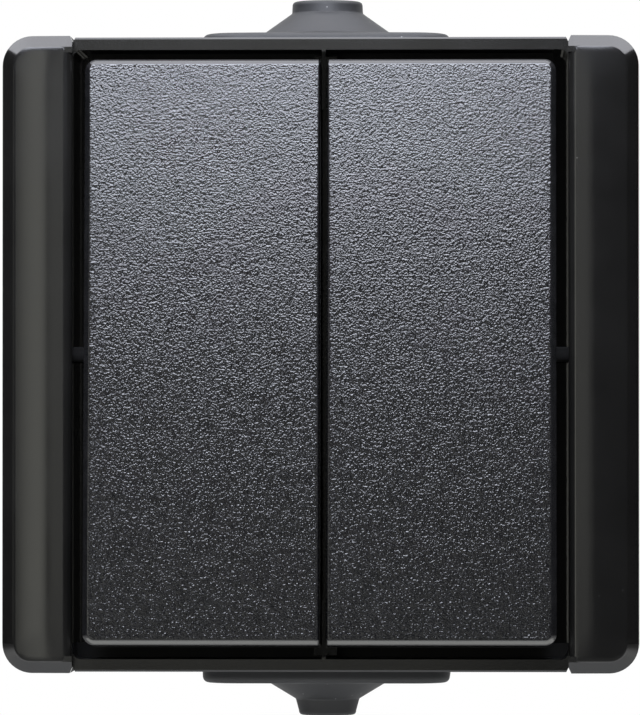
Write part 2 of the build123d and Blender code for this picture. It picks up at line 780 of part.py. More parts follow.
# Fixed contact rivets in the load strips
with BuildPart() as fixed_contacts:
    with BuildSketch(level(strip_depth)):
        with Locations((-switch_x, -contact_z), (switch_x, -contact_z)):
            Circle(rivet_shank / 2)
    extrude(amount=strip_thickness)
    with BuildSketch(level(strip_front)):
        with Locations((-switch_x, -contact_z), (switch_x, -contact_z)):
            Circle(rivet_diameter / 2)
    extrude(amount=contact_front - strip_front)
save(fixed_contacts, "fixed_contacts")

# Line busbar: one stamping with a fulcrum tab under each lever and a leg to the line terminal
with BuildPart() as line_busbar:
    with BuildSketch(level(strip_depth)):
        Rectangle(switch_spacing + lever_width, busbar_height)
        with Locations((0, strip_end / 2)):
            Rectangle(strip_width, strip_end)
    extrude(amount=strip_thickness)
    for x, z in switch_points:
        with BuildSketch(across(x - lever_width / 2, fulcrum_depth)):
            tab_foot = fulcrum_depth - strip_front
            with Locations((0, -tab_foot / 2)):
                Rectangle(fulcrum_thickness, tab_foot)
            Circle(fulcrum_thickness / 2)
        extrude(amount=lever_width)
save(line_busbar, "line_busbar")

# Terminal clamps: bent steel cages round the strip ends, each with a screw
for name, point in terminals:
    with BuildPart() as clamp:
        with BuildSketch(level(clamp_back)):
            with Locations(point):
                Rectangle(clamp_width, clamp_length)
        extrude(amount=clamp_front - clamp_back)
        with BuildSketch(level(strip_depth)):
            with Locations(point):
                Rectangle(clamp_width - 2 * clamp_wall, clamp_length)
        extrude(amount=clamp_mouth, mode=Mode.SUBTRACT)
        with Locations(level(clamp_front)):
            with Locations(point):
                Hole(terminal_screw_diameter / 2 + running_clearance, clamp_front_wall)
    save(clamp, name)

# Screws, each kind a group of separate solids
terminal_screw_length = terminal_screw_seat - strip_front - wire_room
terminal_screws = screw_group(
    terminal_points,
    terminal_screw_seat,
    terminal_screw_length,
    terminal_screw_diameter,
    terminal_screw_head,
    terminal_screw_head_height,
)
save(terminal_screws, "terminal_screws")
insert_screws = screw_group(
    insert_screw_points, insert_screw_seat, insert_screw_length, screw_diameter, screw_head, screw_head_height
)
save(insert_screws, "insert_screws")
bridge_screws = screw_group(
    bridge_screw_points,
    bridge_front,
    bridge_screw_length,
    small_screw_diameter,
    small_screw_head,
    small_screw_head_height,
)
save(bridge_screws, "bridge_screws")
cover_screws = screw_group(
    cover_screw_points, cover_screw_seat, cover_screw_length, screw_diameter, screw_head, screw_head_height
)
save(cover_screws, "cover_screws")
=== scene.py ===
# %% [markdown]
# # A splash-proof double light switch
# The real switch is a black box on a wall with a smooth frame in front, two grained rockers side by side
# and a soft cable seal above and below. The imported solids already give every size and place. This script
# adds what solids can't carry: grain, soft seals, gentle crowns, coiled springs, finishes, light
# and a camera.

# %% Load the imported solids
import json
from math import cos, pi, radians, sin

import bpy
import numpy as np
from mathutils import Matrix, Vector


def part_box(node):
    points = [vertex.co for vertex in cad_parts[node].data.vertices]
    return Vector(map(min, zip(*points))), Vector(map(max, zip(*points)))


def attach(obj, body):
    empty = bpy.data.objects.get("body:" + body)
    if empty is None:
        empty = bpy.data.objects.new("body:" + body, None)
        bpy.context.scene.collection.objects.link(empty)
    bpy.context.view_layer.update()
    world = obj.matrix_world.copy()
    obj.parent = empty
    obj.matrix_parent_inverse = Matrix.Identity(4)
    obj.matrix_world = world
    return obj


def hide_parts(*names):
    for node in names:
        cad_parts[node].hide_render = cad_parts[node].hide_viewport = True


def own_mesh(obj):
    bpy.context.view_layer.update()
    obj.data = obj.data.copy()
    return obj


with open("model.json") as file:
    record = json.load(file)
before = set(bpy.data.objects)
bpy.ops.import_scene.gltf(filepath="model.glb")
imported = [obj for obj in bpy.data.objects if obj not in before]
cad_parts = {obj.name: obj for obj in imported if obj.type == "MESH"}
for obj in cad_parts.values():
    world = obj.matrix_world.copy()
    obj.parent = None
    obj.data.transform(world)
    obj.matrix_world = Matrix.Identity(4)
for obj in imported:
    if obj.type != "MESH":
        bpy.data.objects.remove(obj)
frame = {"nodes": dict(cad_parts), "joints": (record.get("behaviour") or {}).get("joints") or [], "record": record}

MM = 0.001
nodes = frame["nodes"]
joints = {joint["name"]: joint for joint in frame["joints"]}
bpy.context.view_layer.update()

# %% [markdown]
# ## Camera
# The photograph is taken almost square from the front with a long lens, so the sides of the box hide
# behind the frame. The seals, which sit far behind the frame's front, appear a little to the right and
# lower than they would from straight in front. That places the camera slightly right of the middle and
# below it, 0.65 m away. It could look straight ahead with a shifted lens, but turned towards the frame it
# also serves for views from other sides.

# %% Camera
IMAGE_WIDTH = 640
IMAGE_HEIGHT = 715
FRAME_MIDDLE_PX = (319.9, 354.0)
PX_SIZE = 0.1034 * MM
CAMERA_DISTANCE = 650 * MM
CAMERA_RIGHT = 17.0 * MM
CAMERA_UP = -9.5 * MM
NEAREST_SEEN = 10 * MM

frame_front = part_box("cover_frame")[0].y
aim_x = (IMAGE_WIDTH / 2 - FRAME_MIDDLE_PX[0]) * PX_SIZE
aim_z = (FRAME_MIDDLE_PX[1] - IMAGE_HEIGHT / 2) * PX_SIZE
stand = Vector((CAMERA_RIGHT, frame_front - CAMERA_DISTANCE, CAMERA_UP))
sight = Vector((aim_x, frame_front, aim_z)) - stand

camera_data = bpy.data.cameras.new("camera")
camera_data.sensor_fit = "HORIZONTAL"
camera_data.lens = camera_data.sensor_width * sight.length / (IMAGE_WIDTH * PX_SIZE)
camera_data.clip_start = NEAREST_SEEN
camera = bpy.data.objects.new("camera", camera_data)
camera.location = stand
camera.rotation_euler = sight.to_track_quat("-Z", "Y").to_euler()
bpy.context.scene.collection.objects.link(camera)
bpy.context.scene.camera = camera
print("camera", round(sight.length, 3), "m away, lens", round(camera_data.lens, 1), "mm")

# %% [markdown]
# ## Nodes in a few words
# Every finish below is a small tree of shader nodes, which Blender's editor would show as boxes and
# wires. A helper that makes a node, fills its sockets and links it says the same in one line, so the
# trees stay short enough to read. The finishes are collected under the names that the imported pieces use
# for them.

# %% Node helpers
finishes = {}


def new_material(name, color, roughness, metallic=0.0, ior=1.5):
    """A material with one Principled shader, whose constant sockets are set here."""
    material = bpy.data.materials.new(name)
    material.use_nodes = True
    shader = material.node_tree.nodes["Principled BSDF"]
    shader.inputs["Base Color"].default_value = (*color, 1)
    shader.inputs["Roughness"].default_value = roughness
    shader.inputs["Metallic"].default_value = metallic
    shader.inputs["IOR"].default_value = ior
    print("finish:", name)
    return material, shader


def add_node(tree, kind, settings=None, **sockets):
    """A node of this kind with its settings and sockets filled in; a socket value may be another socket."""
    node = tree.nodes.new(kind)
    for key, value in (settings or {}).items():
        setattr(node, key, value)
    for name, value in sockets.items():
        socket = node.inputs[int(name[1:])] if name[1:].isdigit() else node.inputs[name.replace("_", " ")]
        if isinstance(value, bpy.types.NodeSocket):
            tree.links.new(value, socket)
        else:
            socket.default_value = value
    return node


def calc(tree, operation, first, second=0.0):
    """One sum, product or comparison of two values."""
    return add_node(tree, "ShaderNodeMath", {"operation": operation}, i0=first, i1=second).outputs[0]


# %% [markdown]
# ## Patterns that stay with the piece
# No moulded surface is perfectly even. A picture could be wrapped round each piece, but noise worked out
# from the place on the object needs no unwrapping and moves with the piece. A pattern runs from 0 to 1
# and is then stretched to a range of roughness, or chooses between two colours.

# %% Pattern helpers
def object_point(tree):
    """The place on the object, in metres, which stays with the piece when it moves."""
    return add_node(tree, "ShaderNodeTexCoord").outputs["Object"]


def noise(tree, size, detail=3.0, roughness=0.55, stretch=None):
    """Cloudy noise whose blotches are about this size in metres."""
    place = object_point(tree)
    if stretch:
        place = add_node(tree, "ShaderNodeMapping", Vector=place, Scale=stretch).outputs[0]
    return add_node(
        tree, "ShaderNodeTexNoise", Vector=place, Scale=1 / size, Detail=detail, Roughness=roughness
    ).outputs["Fac"]


def between(tree, fac, low, high, from_low=0.3, from_high=0.7):
    """Stretches a pattern so that it runs from low to high, and stays at those ends outside its range."""
    return add_node(
        tree, "ShaderNodeMapRange", Value=fac, From_Min=from_low, From_Max=from_high, To_Min=low, To_Max=high
    ).outputs[0]


def colours(tree, fac, low, high):
    """The low colour where the pattern is 0 and the high one where it is 1; either may be a socket."""
    low, high = (end if isinstance(end, bpy.types.NodeSocket) else (*end, 1) for end in (low, high))
    return add_node(tree, "ShaderNodeMix", {"data_type": "RGBA"}, i0=fac, i6=low, i7=high).outputs[2]


def blend(tree, fac, first, second):
    """The first value where the pattern is 0 and the second where it is 1."""
    return add_node(tree, "ShaderNodeMix", {"data_type": "FLOAT"}, i0=fac, i2=first, i3=second).outputs[0]


# %% [markdown]
# ## Relief and dust
# Texture finer than a hair would need millions of faces as a mesh. A bump bends the light as if the
# relief were there. Specks of dust are dots in some cells of a pattern that splits space into irregular
# cells.

# %% Relief and dust helpers
def bump(tree, shader, height, strength, distance):
    """Fine relief that bends the light without moving the surface."""
    relief = add_node(tree, "ShaderNodeBump", Height=height, Strength=strength, Distance=distance)
    tree.links.new(relief.outputs["Normal"], shader.inputs["Normal"])


def dust(tree, cell, radius, share):
    """Sparse specks: one round dot of this radius in a share of the cells of a Voronoi pattern."""
    cells = add_node(tree, "ShaderNodeTexVoronoi", Vector=object_point(tree), Scale=1 / cell)
    tint = add_node(tree, "ShaderNodeSeparateColor", Color=cells.outputs["Color"]).outputs[0]
    dot = calc(tree, "LESS_THAN", cells.outputs["Distance"], radius / cell)
    return calc(tree, "MULTIPLY", dot, calc(tree, "LESS_THAN", tint, share))


# %% [markdown]
# ## Where the frame shines
# The frame is one moulding, but it doesn't shine alike everywhere. Its front is smooth, the recess and
# the rib between the rockers are glossy, and the ledges at both ends of the recess and the outer walls are
# matt. Deep in the recess and all along the rib the colour is painted near black as painted shade. It could
# be cut into pieces with a material each. Masks worked out from the place leave the solid whole.

# %% Masks on the frame
SLOT_MIDDLE = 0.36 * MM
RIB_REACH = 1.2 * MM
LEDGE_MIDDLE = 31.4 * MM
LEDGE_REACH = 1.3 * MM
LEDGE_INSIDE = 24.2 * MM
WALL_START = 32.3 * MM
# Painted shade: behind this depth the frame's colour fades to near black, where light hardly reaches
PAINTED_SHADE_DEPTH = (-45.5 * MM, -43.5 * MM)
GLOSS_DEPTH = (-44.7 * MM, -43.2 * MM)
WALL_DEPTH = (-44.85 * MM, -44.7 * MM)


def deeper(tree, start, end):
    """0 in front of the start and 1 behind the end, along the depth of the switch."""
    depth = add_node(tree, "ShaderNodeSeparateXYZ", Vector=object_point(tree)).outputs["Y"]
    return between(tree, depth, 0, 1, start, end)


def near(tree, value, middle, reach):
    """1 where a value lies within reach of a middle, and 0 elsewhere."""
    compare = {"operation": "COMPARE"}
    return add_node(tree, "ShaderNodeMath", compare, i0=value, i1=middle, i2=reach).outputs[0]


def frame_masks(tree):
    """Masks of 0 to 1: a product is where two ranges meet, and the larger of two masks joins them."""
    place = add_node(tree, "ShaderNodeSeparateXYZ", Vector=object_point(tree)).outputs
    aside = calc(tree, "ABSOLUTE", place["X"])
    from_middle = calc(tree, "ABSOLUTE", place["Z"])
    in_slot = near(tree, place["X"], SLOT_MIDDLE, RIB_REACH)
    rib = calc(tree, "MULTIPLY", in_slot, near(tree, from_middle, 0.0, LEDGE_MIDDLE))
    lower_half = calc(tree, "LESS_THAN", place["Z"], 0.0)
    low_or_inside = calc(tree, "MAXIMUM", near(tree, place["X"], 0.0, LEDGE_INSIDE), lower_half)
    ledge = calc(tree, "MULTIPLY", low_or_inside, near(tree, from_middle, LEDGE_MIDDLE, LEDGE_REACH))
    outside = calc(tree, "GREATER_THAN", calc(tree, "MAXIMUM", aside, from_middle), WALL_START)
    return {
        # black: painted shade, near black deep in the recess and all along the rib in the narrow slot
        "black": calc(tree, "MAXIMUM", deeper(tree, *PAINTED_SHADE_DEPTH), rib),
        "recess": calc(tree, "MAXIMUM", deeper(tree, *GLOSS_DEPTH), rib),
        "ledge": calc(tree, "SUBTRACT", ledge, calc(tree, "MULTIPLY", ledge, rib)),
        "wall": calc(tree, "MULTIPLY", outside, deeper(tree, *WALL_DEPTH)),
    }


# %% [markdown]
# ## Frame plastic
# The frame is moulded in a polished tool, so it is smooth and dark with soft reflections. One even gloss
# would look like a mirror. Faint clouds in the roughness, such as handling leaves, and a few specks of
# dust make it a surface.

# %% Frame plastic
PLASTIC_IOR = 1.58
# The near black of painted shade, for surfaces deep in the recess
PAINTED_SHADE_BLACK = (0.0008, 0.0008, 0.0008)


def smooth_frame_plastic():
    """Roughness and colour drift with a cloud pattern; the masks then set recess, ledges and walls apart, and
    paint the deep recess and the rib near black as painted shade.
    """
    material, shader = new_material("smooth_frame_plastic", (0.006, 0.0059, 0.0055), 0.15, ior=PLASTIC_IOR)
    tree = material.node_tree
    masks = frame_masks(tree)
    cloud = noise(tree, 9 * MM, 4.0)
    in_recess = between(tree, masks["ledge"], 0.05, 0.6, 0.0, 1.0)
    roughness = blend(tree, masks["recess"], between(tree, cloud, 0.14, 0.18), in_recess)
    roughness = blend(tree, masks["wall"], roughness, between(tree, cloud, 0.70, 0.80))
    tree.links.new(roughness, shader.inputs["Roughness"])
    plastic = colours(tree, between(tree, cloud, 0, 1), (0.005, 0.0049, 0.0046), (0.008, 0.0078, 0.0073))
    dusty = colours(tree, dust(tree, 2.4 * MM, 0.06 * MM, 0.16), plastic, (0.12, 0.12, 0.11))
    # Painted shade: deep in the recess and along the rib the colour turns near black
    tree.links.new(colours(tree, masks["black"], dusty, PAINTED_SHADE_BLACK), shader.inputs["Base Color"])
    bump(tree, shader, noise(tree, 0.25 * MM, 2.0), 0.05, 0.02 * MM)
    return material


finishes["cover_plastic"] = smooth_frame_plastic()

# %% [markdown]
# ## Rocker plastic
# Such rockers are moulded in an eroded tool that leaves a fine grain on their faces, while rims and walls
# stay smooth. The larger wrinkles are real geometry further down. This material adds the finest ones, too
# small for a mesh, where the face carries a value named grain. Pins and walls down in the recess turn matt
# and are painted near black as painted shade.

# %% Rocker plastic
FINE_GRAIN = 0.19 * MM
FINE_GRAIN_HEIGHT = 0.076 * MM
# Behind this depth the rocker turns matt and its colour near black, as painted shade
ROCKER_MATT_AND_SHADE_DEPTH = (-45.5 * MM, -44.4 * MM)


def grained_rocker_plastic():
    """Glossy dark plastic whose bump is as strong as the grain value, turning matt with depth and painted near
    black there as painted shade.
    """
    material, shader = new_material("grained_rocker_plastic", (0.008, 0.008, 0.0084), 0.15, ior=PLASTIC_IOR)
    tree = material.node_tree
    cloud = noise(tree, 1.2 * MM, 3.0)
    deep_matt_and_shaded = deeper(tree, *ROCKER_MATT_AND_SHADE_DEPTH)
    tree.links.new(blend(tree, deep_matt_and_shaded, between(tree, cloud, 0.09, 0.14), 1.0), shader.inputs["Roughness"])
    plastic = colours(tree, between(tree, cloud, 0, 1), (0.006, 0.006, 0.0064), (0.010, 0.010, 0.0106))
    # Painted shade: pins and walls deep in the recess turn near black
    tree.links.new(colours(tree, deep_matt_and_shaded, plastic, PAINTED_SHADE_BLACK), shader.inputs["Base Color"])
    grained = add_node(tree, "ShaderNodeAttribute", {"attribute_name": "grain"}).outputs["Fac"]
    bump(tree, shader, noise(tree, FINE_GRAIN, 1.0), grained, FINE_GRAIN_HEIGHT)
    return material


finishes["rocker_plastic"] = grained_rocker_plastic()

# %% [markdown]
# ## Box plastic
# The box behind the frame has a fine, even texture that hides scratches from fitting. It is far duller
# than the frame, so a high roughness and a stronger bump tell the two apart in views from the side.

# %% Box plastic
def fine_textured_box_plastic():
    """Matt black whose colour and roughness follow one cloud pattern, under a fine even relief."""
    material, shader = new_material("fine_textured_box_plastic", (0.018, 0.018, 0.018), 0.78)
    tree = material.node_tree
    cloud = noise(tree, 6 * MM, 4.0)
    tree.links.new(between(tree, cloud, 0.72, 0.84), shader.inputs["Roughness"])
    plastic = colours(tree, between(tree, cloud, 0, 1), (0.015, 0.015, 0.015), (0.022, 0.022, 0.0215))
    tree.links.new(plastic, shader.inputs["Base Color"])
    bump(tree, shader, noise(tree, 0.3 * MM, 3.0), 0.35, 0.03 * MM)
    return material


finishes["base_plastic"] = fine_textured_box_plastic()

# %% [markdown]
# ## Seal rubber
# The cable seals and the gasket are a dark elastomer with a dusty bloom, so they look bluish and half
# matt. The bloom is one noise pattern that drives colour and roughness together, because pale patches are
# also the dull ones.

# %% Seal rubber
def soft_seal_rubber():
    """Bluish black with a blotchy bloom in colour and roughness, and light specks."""
    material, shader = new_material("soft_seal_rubber", (0.011, 0.0115, 0.013), 0.56)
    tree = material.node_tree
    bloom = noise(tree, 2.5 * MM, 5.0, 0.65)
    tree.links.new(between(tree, bloom, 0.5, 0.62), shader.inputs["Roughness"])
    rubber = colours(tree, between(tree, bloom, 0, 1), (0.007, 0.0075, 0.0085), (0.015, 0.016, 0.018))
    dusty = colours(tree, dust(tree, 0.9 * MM, 0.07 * MM, 0.2), rubber, (0.2, 0.2, 0.2))
    tree.links.new(dusty, shader.inputs["Base Color"])
    bump(tree, shader, noise(tree, 0.4 * MM, 2.0), 0.15, 0.03 * MM)
    return material


finishes["soft_seal"] = soft_seal_rubber()

# %% [markdown]
# ## Mouldings inside the box
# Inside are a grey heat-proof moulding, which is faintly speckled, and pale nylon actuators and plungers
# with the marks of the melt that flowed along them. Nobody sees them in the closed switch, but the part
# may be taken apart.

# %% Hidden plastics
def heat_proof_plastic():
    """Grey with a fine speckle in colour and relief."""
    material, shader = new_material("heat_proof_plastic", (0.3, 0.31, 0.32), 0.45)
    tree = material.node_tree
    speck = noise(tree, 0.5 * MM, 4.0)
    plastic = colours(tree, between(tree, speck, 0, 1), (0.25, 0.26, 0.27), (0.36, 0.37, 0.38))
    tree.links.new(plastic, shader.inputs["Base Color"])
    bump(tree, shader, speck, 0.1, 0.02 * MM)
    return material


def natural_nylon():
    """Cream with noise drawn out along the depth, as the melt flowed."""
    material, shader = new_material("natural_nylon", (0.7, 0.69, 0.64), 0.4)
    tree = material.node_tree
    flow = noise(tree, 3 * MM, 3.0, stretch=(1, 0.3, 1))
    nylon = colours(tree, between(tree, flow, 0, 1), (0.62, 0.6, 0.55), (0.74, 0.73, 0.69))
    tree.links.new(nylon, shader.inputs["Base Color"])
    bump(tree, shader, noise(tree, 0.3 * MM), 0.08, 0.02 * MM)
    return material


finishes["insert_plastic"] = heat_proof_plastic()
finishes["actuator_plastic"] = natural_nylon()

# %% [markdown]
# ## Metals inside the box
# Strips and contact levers are stamped from rolled brass, the contacts are silvered, and screws, clamps
# and springs are plated steel. All three show fine lines from rolling or drawing, so one recipe with
# other colours serves them all.

# %% Hidden metals
def stamped_metal(name, dark, light, rough_low, rough_high, grain_size):
    """A metal with fine lines: noise squeezed across the rolling direction and drawn out along it."""
    material, shader = new_material(name, light, rough_high, 1.0)
    tree = material.node_tree
    lines = noise(tree, grain_size, 4.0, stretch=(6, 6, 0.6))
    tree.links.new(colours(tree, between(tree, lines, 0, 1), dark, light), shader.inputs["Base Color"])
    tree.links.new(between(tree, lines, rough_low, rough_high), shader.inputs["Roughness"])
    bump(tree, shader, lines, 0.06, 0.02 * MM)
    return material


finishes["brass_strip"] = stamped_metal(
    "stamped_brass", (0.55, 0.36, 0.12), (0.78, 0.57, 0.25), 0.22, 0.4, 0.6 * MM
)
finishes["contact_metal"] = stamped_metal(
    "silvered_contact", (0.72, 0.71, 0.68), (0.88, 0.87, 0.84), 0.15, 0.3, 0.3 * MM
)
finishes["plated_steel"] = stamped_metal(
    "zinc_plated_steel", (0.48, 0.49, 0.5), (0.66, 0.67, 0.68), 0.25, 0.42, 0.5 * MM
)

# %% [markdown]
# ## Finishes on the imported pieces
# The record of the part says what each piece is made of. Going through it in a loop gives every solid its
# finish, and no piece can be forgotten, as could happen if they were named one by one.

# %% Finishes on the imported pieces
for subpart in frame["record"]["subparts"]:
    surface = nodes[subpart["node"]].data
    surface.materials.clear()
    surface.materials.append(finishes[subpart["material_slot"]])

# %% [markdown]
# ## Surfaces from whole arrays
# Every new piece is a grid of points worked out with numpy in one go. It could be modelled by hand, but a
# formula can be changed later. The faces between neighbouring rows and columns follow from the numbering
# alone, and a fan of triangles closes an open end.

# %% Grid helpers
def grid_faces(rows, columns, close_rows=False, close_columns=False):
    """Point numbers of the quads between neighbouring rows and columns, joined round where closed."""
    row = np.arange(rows if close_rows else rows - 1)[:, None]
    column = np.arange(columns if close_columns else columns - 1)[None, :]
    next_row, next_column = (row + 1) % rows, (column + 1) % columns
    corners = [
        row * columns + column, row * columns + next_column,
        next_row * columns + next_column, next_row * columns + column,
    ]
    return np.stack(np.broadcast_arrays(*corners), axis=-1).reshape(-1, 4)


def fan(ring, tip):
    """Triangles that close a ring of point numbers with one more point."""
    return np.stack([np.roll(ring, -1), ring, np.full_like(ring, tip)], axis=-1)


def end_fans(rows, columns):
    """Triangles that close the first and last ring of a tube with the two points that follow its rings."""
    count = rows * columns
    first, last = np.arange(columns), np.arange(count - columns, count)
    return np.concatenate([fan(first, count), fan(last[::-1], count + 1)])


# %% [markdown]
# ## From arrays to a piece
# A piece that can be printed or simulated has a closed skin that faces outward. The sum of the small
# volumes between each triangle and the origin is negative when the skin faces inward, and then all faces
# are turned. The piece is told which body it rides on and which finish it has.

# %% Closed piece
def closed_piece(name, points, quads, triangles, slot, body):
    """A smooth closed mesh from points (n, 3), turned so that its volume is positive, riding on a body."""
    split = np.concatenate([quads[:, [0, 1, 2]], quads[:, [0, 2, 3]], triangles])
    first, second, third = points[split[:, 0]], points[split[:, 1]], points[split[:, 2]]
    if np.sum(first * np.cross(second, third)) < 0:
        quads, triangles = quads[:, ::-1], triangles[:, ::-1]
    corners = np.concatenate([quads.ravel(), triangles.ravel()]).astype(np.int32)
    sizes = np.concatenate([np.full(len(quads), 4), np.full(len(triangles), 3)])
    mesh = bpy.data.meshes.new(name)
    mesh.vertices.add(len(points))
    mesh.vertices.foreach_set("co", points.astype(np.float32).ravel())
    mesh.loops.add(len(corners))
    mesh.loops.foreach_set("vertex_index", corners)
    mesh.polygons.add(len(sizes))
    mesh.polygons.foreach_set("loop_start", (np.cumsum(sizes) - sizes).astype(np.int32))
    mesh.polygons.foreach_set("use_smooth", np.ones(len(sizes), dtype=bool))
    mesh.update(calc_edges=True)
    mesh.materials.append(finishes[slot])
    piece = bpy.data.objects.new(name, mesh)
    bpy.context.scene.collection.objects.link(piece)
    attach(piece, body)
    print(name, len(points), "points")
    return piece


# %% [markdown]
# ## Rims of a moulded plate
# A moulded plate has a flat face, a bevel with soft edges and a wall below it. Blender's bevel tool could
# cut that, but the grain needs an even grid up to the rim. So the rim is a profile: how far in and how
# deep a line of the grid lies, against the way along it.

# %% Rim profile
def soft_corner(start, corner, end, steps=6):
    """Rows that turn smoothly from one row to another: a quadratic curve that the corner pulls outward."""
    t = np.linspace(0, 1, steps)[:, None]
    return (1 - t) ** 2 * np.array(start) + 2 * t * (1 - t) * np.array(corner) + t**2 * np.array(end)


def bevel_profile(size, wall, soft):
    """Inset and depth of a bevelled rim against the way along it, from its wall's foot up to the face."""
    slant = soft * cos(pi / 4)
    rows = np.concatenate([
        [(0, size + wall)],
        soft_corner((0, size + soft), (0, size), (slant, size - slant), 4),
        soft_corner((size - slant, slant), (size, 0), (size + soft, 0), 4),
    ])
    steps = np.hypot(*np.diff(rows, axis=0).T)
    return np.concatenate([[0], np.cumsum(steps)]), rows[:, 0], rows[:, 1]


def grid_lines(length, along, spacing):
    """Places of the grid lines over an unrolled width: those of both rims and even ones between them."""
    count = int((length - 2 * along[-1]) / spacing) + 1
    middle = np.linspace(along[-1], length - along[-1], count + 1)
    return np.concatenate([along[:-1], middle, (length - along[:-1])[::-1]])


# %% [markdown]
# ## A plate with a bevelled rim
# The plate's grid starts as a flat sheet that is a little too large. Its outermost lines are then rolled
# over the rim and down the wall. In each corner the square grid is bent into a quarter circle, so no line
# breaks.

# %% Plate surface
def plate(width, height, corners, profile, spacing):
    """Place of each grid point across and up from the middle, its depth below the face and its way in.

    In a corner of radius r, the larger of the two ways past the corner's square gives the ring, and the
    ratio of the two gives the angle on it. Everywhere else the rim profile alone gives inset and depth.
    """
    along, inset, depth = profile
    spare = along[-1] - inset[-1]
    span, rise = width + 2 * spare, height + 2 * spare
    u, v = np.meshgrid(grid_lines(span, along, spacing[0]), grid_lines(rise, along, spacing[1]))
    near_u, near_v = np.minimum(u, span - u), np.minimum(v, rise - v)
    corner = np.where(u < span / 2, corners[0], corners[1])
    past_u, past_v = corner + spare - near_u, corner + spare - near_v
    turned = (past_u > 0) & (past_v > 0)
    ring = np.where(turned, np.maximum(past_u, past_v), 1)
    eighth = pi / 4 * np.minimum(past_u, past_v) / ring
    angle = np.where(past_u >= past_v, eighth, pi / 2 - eighth)
    way = np.where(turned, corner + spare - ring, np.minimum(near_u, near_v))

    def inset_at(place):
        return np.interp(place, along, inset) + np.maximum(place - along[-1], 0)

    radius = corner - inset_at(way)
    from_side = np.where(turned, corner - radius * np.cos(angle), inset_at(near_u))
    from_end = np.where(turned, corner - radius * np.sin(angle), inset_at(near_v))
    across = np.where(u < span / 2, from_side, width - from_side) - width / 2
    up = np.where(v < rise / 2, from_end, height - from_end) - height / 2
    return across, up, np.interp(way, along, depth), way


def plate_piece(name, points, back, slot, body):
    """Closes a plate's grid (rows, columns, 3) with a fan to one point behind it."""
    rows, columns = points.shape[:2]
    number = np.arange(rows * columns).reshape(rows, columns)
    ring = np.concatenate([number[0], number[1:, -1], number[-1, -2::-1], number[-2:0:-1, 0]])
    points = np.concatenate([points.reshape(-1, 3), [back]])
    return closed_piece(name, points, grid_faces(rows, columns), fan(ring, rows * columns), slot, body)


# %% [markdown]
# ## Grain
# The grain of the rockers is a field of soft hills of about one size, with no direction. Plain noise has
# hills of every size. A Fourier transform sorts noise by wavelength, so keeping only a narrow band leaves
# hills of one size. They are real geometry, because light from above has to catch the upper side of each
# one.

# %% Grain
GRAIN_STEP = (0.14 * MM, 0.119 * MM)
GRAIN_HEIGHT = 0.006 * MM
GRAIN_WAVES = (0.42 * MM, 0.8 * MM)


def banded_noise(shape, spacing, shortest, longest, seed):
    """Noise of unit strength that only holds waves between two lengths, from filtered random numbers."""
    waves = np.fft.rfft2(np.random.default_rng(seed).standard_normal(shape))
    wave_v = np.fft.fftfreq(shape[0], spacing[1])[:, None]
    wave_u = np.fft.rfftfreq(shape[1], spacing[0])[None, :]
    wave = np.sqrt(wave_u**2 + wave_v**2)
    waves = waves * ((wave > 1 / longest) & (wave < 1 / shortest))
    field = np.fft.irfft2(waves, shape)
    return field / field.std()


# %% [markdown]
# ## Rocker faces
# Each rocker is a cap that leans 4 degrees about its pins, with a bevel all round that is narrower along
# the slot. Displacing the whole solid would also roughen its walls. So a thin grained plate lies over its
# face and tilts with it. The grain fades out at the bevel, and the same fade tells the material where its
# finest grain belongs.

# %% Rocker faces
ROCKER_LENGTH = 60.7 * MM
ROCKER_OUTER = 24.4 * MM
ROCKER_CORNER = 1.2 * MM
ROCKER_RIM = 0.5 * MM
RIM_WALL = 0.6 * MM
RIM_SOFT = 0.03 * MM
SLOT_WIDTH = 0.78 * MM
SLOT_CORNER = 0.6 * MM
SLOT_RIM = 0.15 * MM
BEND_BACK = 8 * MM
FACE_BEFORE_PIVOT = 4.5 * MM
FACE_SKIN = 1 * MM
ROCKER_TILT = radians(4.0)
PROUD = 0.03 * MM
GRAIN_FADE = 0.2 * MM


def narrow_slot_rim(across, width, sign):
    """Moves the bevel's inner edge towards the slot and shares the shift out over the lines beside it."""
    from_slot = width / 2 + sign * across
    bent_back = np.clip((from_slot - ROCKER_RIM) / BEND_BACK, 0, 1)
    narrowing = np.minimum(from_slot / ROCKER_RIM, 1) * (1 - bent_back)
    return across - sign * (ROCKER_RIM - SLOT_RIM) * narrowing


for side, sign, seed in (("left", -1, 3), ("right", 1, 4)):
    pivot = Vector(joints[f"{side}_rocker_tilt"]["pos_m"])
    slot_edge = SLOT_MIDDLE + sign * SLOT_WIDTH / 2
    width = abs(sign * ROCKER_OUTER - slot_edge) + 2 * PROUD
    middle = (sign * ROCKER_OUTER + slot_edge) / 2
    rounded = (ROCKER_CORNER, SLOT_CORNER)[::-sign]
    rim = bevel_profile(ROCKER_RIM, RIM_WALL, RIM_SOFT)
    across, up, depth, way = plate(width, ROCKER_LENGTH + 2 * PROUD, rounded, rim, GRAIN_STEP)
    across = narrow_slot_rim(across, width, sign)
    fade = np.clip((way - rim[0][-1]) / GRAIN_FADE, 0, 1)
    relief = GRAIN_HEIGHT * banded_noise(across.shape, GRAIN_STEP, *GRAIN_WAVES, seed) * fade
    out = FACE_BEFORE_PIVOT + PROUD - depth + relief
    points = np.stack([
        middle + across,
        pivot.y + up * sin(ROCKER_TILT) - out * cos(ROCKER_TILT),
        pivot.z + up * cos(ROCKER_TILT) + out * sin(ROCKER_TILT),
    ], axis=-1)
    behind = (middle, pivot.y - (FACE_BEFORE_PIVOT - FACE_SKIN), pivot.z)
    face = plate_piece(f"{side}_rocker_face", points, behind, "rocker_plastic", f"{side}_rocker")
    grained = face.data.attributes.new("grain", "FLOAT", "POINT")
    grained.data.foreach_set("value", np.append(fade, 0).astype(np.float32))

# %% [markdown]
# ## Gentle crowns of the side bars
# The side bars aren't flat. A soft ridge runs along each bar and bends to the inner corners at both ends,
# and the outside falls away in a gentle curve. The solid has plain slopes there. A thin skin over them
# rounds the ridge, so that reflections slide over it and don't break at a crease.

